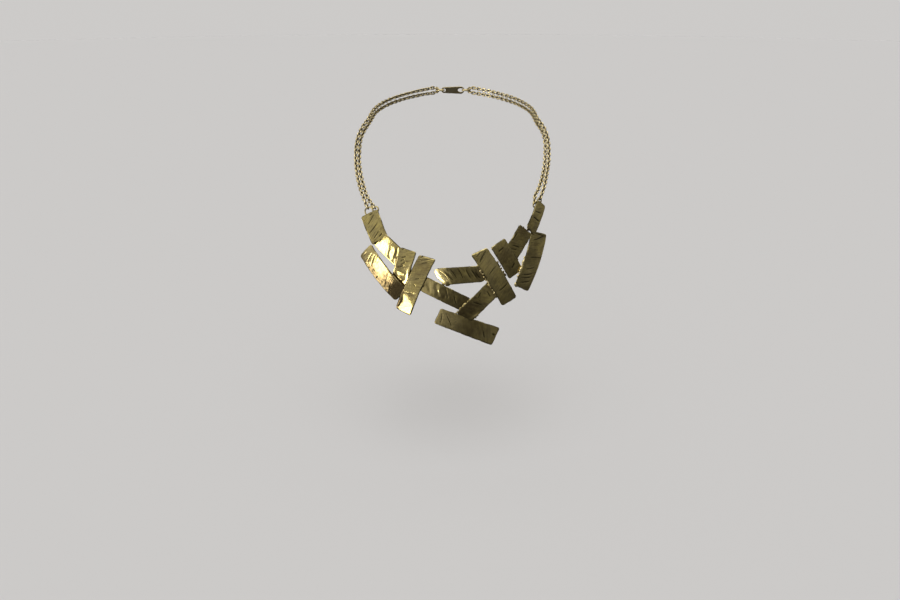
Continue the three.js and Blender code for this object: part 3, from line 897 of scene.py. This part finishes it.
class Nodes:
    """A short way to write shader nodes."""

    def __init__(self, owner):
        owner.use_nodes = True
        self.tree = owner.node_tree
        self.shader = self.tree.nodes.get("Principled BSDF")

    def add(self, kind, inputs=None, **settings):
        node = self.tree.nodes.new(kind)
        for setting, value in settings.items():
            setattr(node, setting, value)
        for socket, value in (inputs or {}).items():
            self.link(value, node.inputs[socket])
        return node

    def link(self, value, socket):
        if isinstance(value, bpy.types.NodeSocket):
            self.tree.links.new(value, socket)
        else:
            socket.default_value = value

    def attribute(self, name, output="Fac"):
        return self.add("ShaderNodeAttribute", attribute_name=name).outputs[output]

    def noise(self, place, scale, detail=4, roughness=0.55):
        inputs = {"Vector": place, "Scale": scale, "Detail": detail, "Roughness": roughness}
        return self.add("ShaderNodeTexNoise", inputs).outputs["Fac"]

    def fit(self, value, low, high, new_low, new_high, ease="LINEAR"):
        inputs = {"Value": value, "From Min": low, "From Max": high}
        inputs.update({"To Min": new_low, "To Max": new_high})
        return self.add("ShaderNodeMapRange", inputs, interpolation_type=ease).outputs["Result"]

    def mix(self, factor, first, second):
        node = self.add("ShaderNodeMix", data_type="RGBA")
        for socket, value in ((0, factor), (6, first), (7, second)):
            self.link(value, node.inputs[socket])
        return node.outputs[2]

    def math(self, first, second, operation="ADD"):
        return self.add("ShaderNodeMath", {0: first, 1: second}, operation=operation).outputs[0]

    def streaked(self, place, turn, long, wide):
        """Places for a pattern of streaks of that length and width, at a turn in degrees."""
        inputs = {"Vector": place, "Rotation": (0, 0, math.radians(turn)), "Scale": (long, wide, 1)}
        return self.add("ShaderNodeMapping", inputs, vector_type="TEXTURE").outputs["Vector"]


BRIGHT_BRASS = (0.66, 0.53, 0.185, 1)
OLIVE_BRASS = (0.4, 0.33, 0.15, 1)
BROWN_BRASS = (0.2, 0.142, 0.062, 1)
# The darkest colour is the patina in cut lines and specks, and also painted shade on the strips' rims
# and sides, in a few patches and at the chain links' ends.
PATINA_AND_SHADE = (0.03, 0.024, 0.012, 1)
WORN_EDGE = (0.82, 0.7, 0.36, 1)
# The lightest face colour, used for the painted highlights on the bright patches.
PAINTED_HIGHLIGHT_COLOR = (0.95, 0.76, 0.33, 1)


def strip_material():
    """Olive antique brass: brushed, mottled, dark in its cut lines and rubbed bright on its edges, with
    painted shade on its rims, sides and some patches, and painted highlights on its bright patches.
    """
    material = bpy.data.materials.new("antique_brass")
    n = Nodes(material)
    flat = n.attribute("flat", "Vector")
    mark, edge, brown, painted_highlight = (n.attribute(name) for name in ("mark", "edge", "brown", "painted_highlight"))

    clouds = n.noise(flat, 0.16, 3)
    blotches = n.noise(flat, 0.7, 5, 0.65)
    specks = n.noise(flat, 3.2, 3, 0.7)
    brushing = n.noise(n.streaked(flat, 20, 2, 0.2), 1.6, 4, 0.7)
    hatching = n.noise(n.streaked(flat, 64, 7, 0.8), 1, 3, 0.6)

    color = n.mix(n.fit(clouds, 0.38, 0.62, 0, 0.95), OLIVE_BRASS, BRIGHT_BRASS)
    color = n.mix(n.fit(blotches, 0.46, 0.7, 0, 0.65), color, BROWN_BRASS)
    color = n.mix(n.fit(brushing, 0.35, 0.65, 0, 0.4), color, BRIGHT_BRASS)
    color = n.mix(n.fit(hatching, 0.5, 0.34, 0, 0.4), color, BRIGHT_BRASS)
    color = n.mix(n.fit(hatching, 0.52, 0.64, 0, 0.6), color, BROWN_BRASS)
    color = n.mix(n.fit(specks, 0.64, 0.76, 0, 0.45), color, PATINA_AND_SHADE)
    browned = n.math(brown, n.fit(blotches, 0.3, 0.7, 0.5, 1.2), "MULTIPLY")
    color = n.mix(n.fit(browned, 0, 1, 0, 1), color, BROWN_BRASS)
    color = n.mix(n.fit(browned, 1, 2, 0, 1), color, PATINA_AND_SHADE)
    # the bright patches: painted highlights that lift the base colour
    color = n.mix(n.math(painted_highlight, n.fit(blotches, 0.35, 0.6, 0.4, 1), "MULTIPLY"), color, PAINTED_HIGHLIGHT_COLOR)
    color = n.mix(n.fit(edge, 0.45, 1, 0, 0.4), color, WORN_EDGE)
    color = n.mix(n.fit(mark, 0.2, 0.8, 0, 0.92), color, PATINA_AND_SHADE)
    n.link(color, n.shader.inputs["Base Color"])

    roughness = n.fit(blotches, 0.3, 0.75, 0.09, 0.19)
    roughness = n.math(roughness, n.fit(brushing, 0.2, 0.8, -0.02, 0.04))
    roughness = n.math(roughness, n.fit(mark, 0.2, 0.9, 0, 0.35))
    roughness = n.math(roughness, n.fit(brown, 0, 1, 0, -0.03))
    n.link(roughness, n.shader.inputs["Roughness"])
    n.shader.inputs["Metallic"].default_value = 1.0

    fine = n.math(n.fit(brushing, 0, 1, 0, 0.5), n.fit(specks, 0, 1, 0, 0.25))
    bump = n.add("ShaderNodeBump", {"Height": fine, "Strength": 0.25, "Distance": 0.02 * MM})
    n.link(bump.outputs["Normal"], n.shader.inputs["Normal"])
    return material


def wire_material(name, base, deep, least_rough, most_rough, grain):
    """Drawn wire or solder: an even metal, a little duller in places."""
    material = bpy.data.materials.new(name)
    n = Nodes(material)
    place = n.add("ShaderNodeTexCoord").outputs["Object"]
    dull = n.noise(place, grain, 4, 0.6)
    fine = n.noise(place, grain * 5, 2)
    color = n.mix(n.fit(dull, 0.45, 0.75, 0, 0.8), base, deep)
    # the mark attribute darkens the chain links' ends with painted shade
    color = n.mix(n.fit(n.attribute("mark"), 0, 1, 0, 0.75), color, PATINA_AND_SHADE)
    n.link(color, n.shader.inputs["Base Color"])
    n.link(n.fit(dull, 0.3, 0.7, least_rough, most_rough), n.shader.inputs["Roughness"])
    n.shader.inputs["Metallic"].default_value = 1.0
    bump = n.add("ShaderNodeBump", {"Height": fine, "Strength": 0.25, "Distance": 0.03 * MM})
    n.link(bump.outputs["Normal"], n.shader.inputs["Normal"])
    return material


def paper_material(name, color):
    material = bpy.data.materials.new(name)
    n = Nodes(material)
    n.shader.inputs["Base Color"].default_value = color
    n.shader.inputs["Roughness"].default_value = 0.9
    n.shader.inputs["Specular IOR Level"].default_value = 0
    return material


# ---- room, light and camera ----

BIB_MIDDLE = (Vector(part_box("bib")[0]) + Vector(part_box("bib")[1])) / 2
PAPER = (0.64, 0.626, 0.607, 1)
PAPER_GLOW = (0.607, 0.594, 0.582, 1)  # the backdrop, as bright as the lit paper
CAMERA_PLACE = (-0.0023, -0.497, 0.060)
CAMERA_DOWN = 24.8  # degrees below level
FLOOR_DROP = 0.07  # metres under the necklace, which hangs free
FLOOR_HALF = 6
BACKDROP_RADIUS = 5.4
BACKDROP_HIGH = 4

# The room's brightness from its far left, at 0, to its far right, at 1.
ROOM_LEVELS = [
    (0.0, 0.43), (0.14, 0.5), (0.28, 0.41), (0.4, 0.12), (0.5, 0.1),
    (0.62, 0.095), (0.74, 0.155), (0.86, 0.13), (0.96, 0.1), (1.0, 0.38),
]
CEILING = (1.9, 1.9, 1.92, 1)


def add_stage_mesh(name, points, faces, material):
    mesh = bpy.data.meshes.new(name)
    mesh.from_pydata(points, [], faces)
    mesh.materials.append(material)
    piece = add_object(name, mesh)
    return piece


def add_floor():
    """A wide pale floor under the necklace, with a pale backdrop round it that only the camera sees."""
    low = cad_box[0].z - FLOOR_DROP
    corners = [(x * FLOOR_HALF, y * FLOOR_HALF, low) for x, y in ((-1, -1), (1, -1), (1, 1), (-1, 1))]
    floor = add_stage_mesh("floor", corners, [(0, 1, 2, 3)], paper_material("floor_paper", PAPER))
    floor.visible_glossy = False

    turns = np.linspace(0, 2 * math.pi, 96, endpoint=False)
    lower = [(BACKDROP_RADIUS * math.cos(t), BACKDROP_RADIUS * math.sin(t), low - 0.01) for t in turns]
    upper = [(x, y, BACKDROP_HIGH) for x, y, _ in lower]
    count = len(turns)
    walls = [(k, (k + 1) % count, count + (k + 1) % count, count + k) for k in range(count)]
    glow = bpy.data.materials.new("backdrop_paper")
    n = Nodes(glow)
    n.tree.nodes.clear()
    emission = n.add("ShaderNodeEmission", {"Color": PAPER_GLOW})
    n.add("ShaderNodeOutputMaterial", {"Surface": emission.outputs[0]})
    backdrop = add_stage_mesh("backdrop", lower + upper, walls, glow)
    backdrop.visible_glossy = False
    backdrop.visible_diffuse = False
    backdrop.visible_shadow = False


def add_softbox(name, azimuth, elevation, distance, width, height, lean, power, color):
    """A rectangular light that looks at the bib; azimuth is from the front towards +X.

    The three angles are degrees, and lean turns the rectangle about the line that it looks along.
    """
    light = bpy.data.lights.new(name, "AREA")
    light.shape = "RECTANGLE"
    light.size, light.size_y = width, height
    light.energy = power
    light.color = color
    lamp = add_object(name, light)
    a, e = math.radians(azimuth), math.radians(elevation)
    way = Vector((math.sin(a) * math.cos(e), -math.cos(a) * math.cos(e), math.sin(e)))
    lamp.location = BIB_MIDDLE + way * distance
    lamp.visible_diffuse = False
    leaning = Quaternion((0, 0, 1), math.radians(lean))
    lamp.rotation_euler = (way.to_track_quat("Z", "Y") @ leaning).to_euler()


def add_world():
    """A dim room, lighter at its left and behind, darkest in front of the bib, bright high overhead."""
    world = bpy.data.worlds.new("room")
    bpy.context.scene.world = world
    n = Nodes(world)
    way = n.add("ShaderNodeTexCoord").outputs["Generated"]
    x, y, z = n.add("ShaderNodeSeparateXYZ", {0: way}).outputs
    ramp = n.add("ShaderNodeValToRGB", {"Fac": n.fit(x, -1, 1, 0, 1)})
    elements = ramp.color_ramp.elements
    while len(elements) < len(ROOM_LEVELS):
        elements.new(0.5)
    for element, (at, level) in zip(elements, ROOM_LEVELS):
        element.position = at
        element.color = (level, level, level * 1.02, 1)

    dimmed_below = {0: ramp.outputs["Color"], "Scale": n.fit(z, -0.1, 0.14, 0.6, 1, "SMOOTHSTEP")}
    room = n.add("ShaderNodeVectorMath", dimmed_below, operation="SCALE").outputs[0]
    lift_above = n.fit(z, 0.15, 0.6, 0, 0.08, "SMOOTHSTEP")
    lift_behind = n.fit(y, 0.1, 0.6, 0, 0.18, "SMOOTHSTEP")
    for lift in (lift_above, lift_behind):
        room = n.add("ShaderNodeVectorMath", {0: room, 1: lift}).outputs[0]
    room = n.mix(n.fit(z, 0.7, 0.88, 0, 1, "SMOOTHSTEP"), room, CEILING)
    n.link(room, n.tree.nodes["Background"].inputs["Color"])


def add_camera():
    """Looks down at the bib from the front, close enough that the collar fills the middle."""
    camera = bpy.data.cameras.new("camera")
    camera.lens = 26
    camera.sensor_width = 36
    camera.clip_start = 0.01
    holder = add_object("camera", camera)
    holder.location = CAMERA_PLACE
    holder.rotation_euler = (math.radians(90 - CAMERA_DOWN), 0, 0)
    bpy.context.scene.camera = holder


add_camera()
add_floor()
add_world()
add_softbox("window", azimuth=-60.5, elevation=2, distance=0.9, width=0.33, height=0.55, lean=30,
            power=3.8, color=(1, 0.98, 0.95))
bpy.context.scene.view_settings.view_transform = "Standard"

strip_brass = strip_material()
for position, bent_strip in enumerate(strips.values()):
    strip_piece(bent_strip, position, strip_brass)

solders = [
    ("dull", (0.46, 0.37, 0.16, 1), (0.07, 0.052, 0.024, 1), 0.2, 0.5),
    ("gold", (0.8, 0.66, 0.32, 1), (0.2, 0.15, 0.06, 1), 0.15, 0.4),
    ("dark", (0.22, 0.17, 0.08, 1), (0.03, 0.023, 0.012, 1), 0.25, 0.5),
]
for finish, base, deep, least_rough, most_rough in solders:
    solder = wire_material(finish + "_solder", base, deep, least_rough, most_rough, 900)
    solder_piece(finish, solder)

dark_wire = wire_material("dark_wire", (0.5, 0.4, 0.16, 1), (0.2, 0.15, 0.06, 1), 0.25, 0.45, 700)
gold_wire = wire_material("gold_wire", (0.82, 0.69, 0.39, 1), (0.34, 0.25, 0.11, 1), 0.14, 0.28, 500)
for loop in rows_of(LOOP_COLUMNS, LOOPS):
    loop_piece(loop, dark_wire)
    chain = loop["name"].replace("loop", "chain")
    chain_piece(chain, ROUTES[chain], loop, gold_wire)
for ring_side in (-1, 1):
    end_ring_piece(ring_side, gold_wire)
clasp_piece(gold_wire)
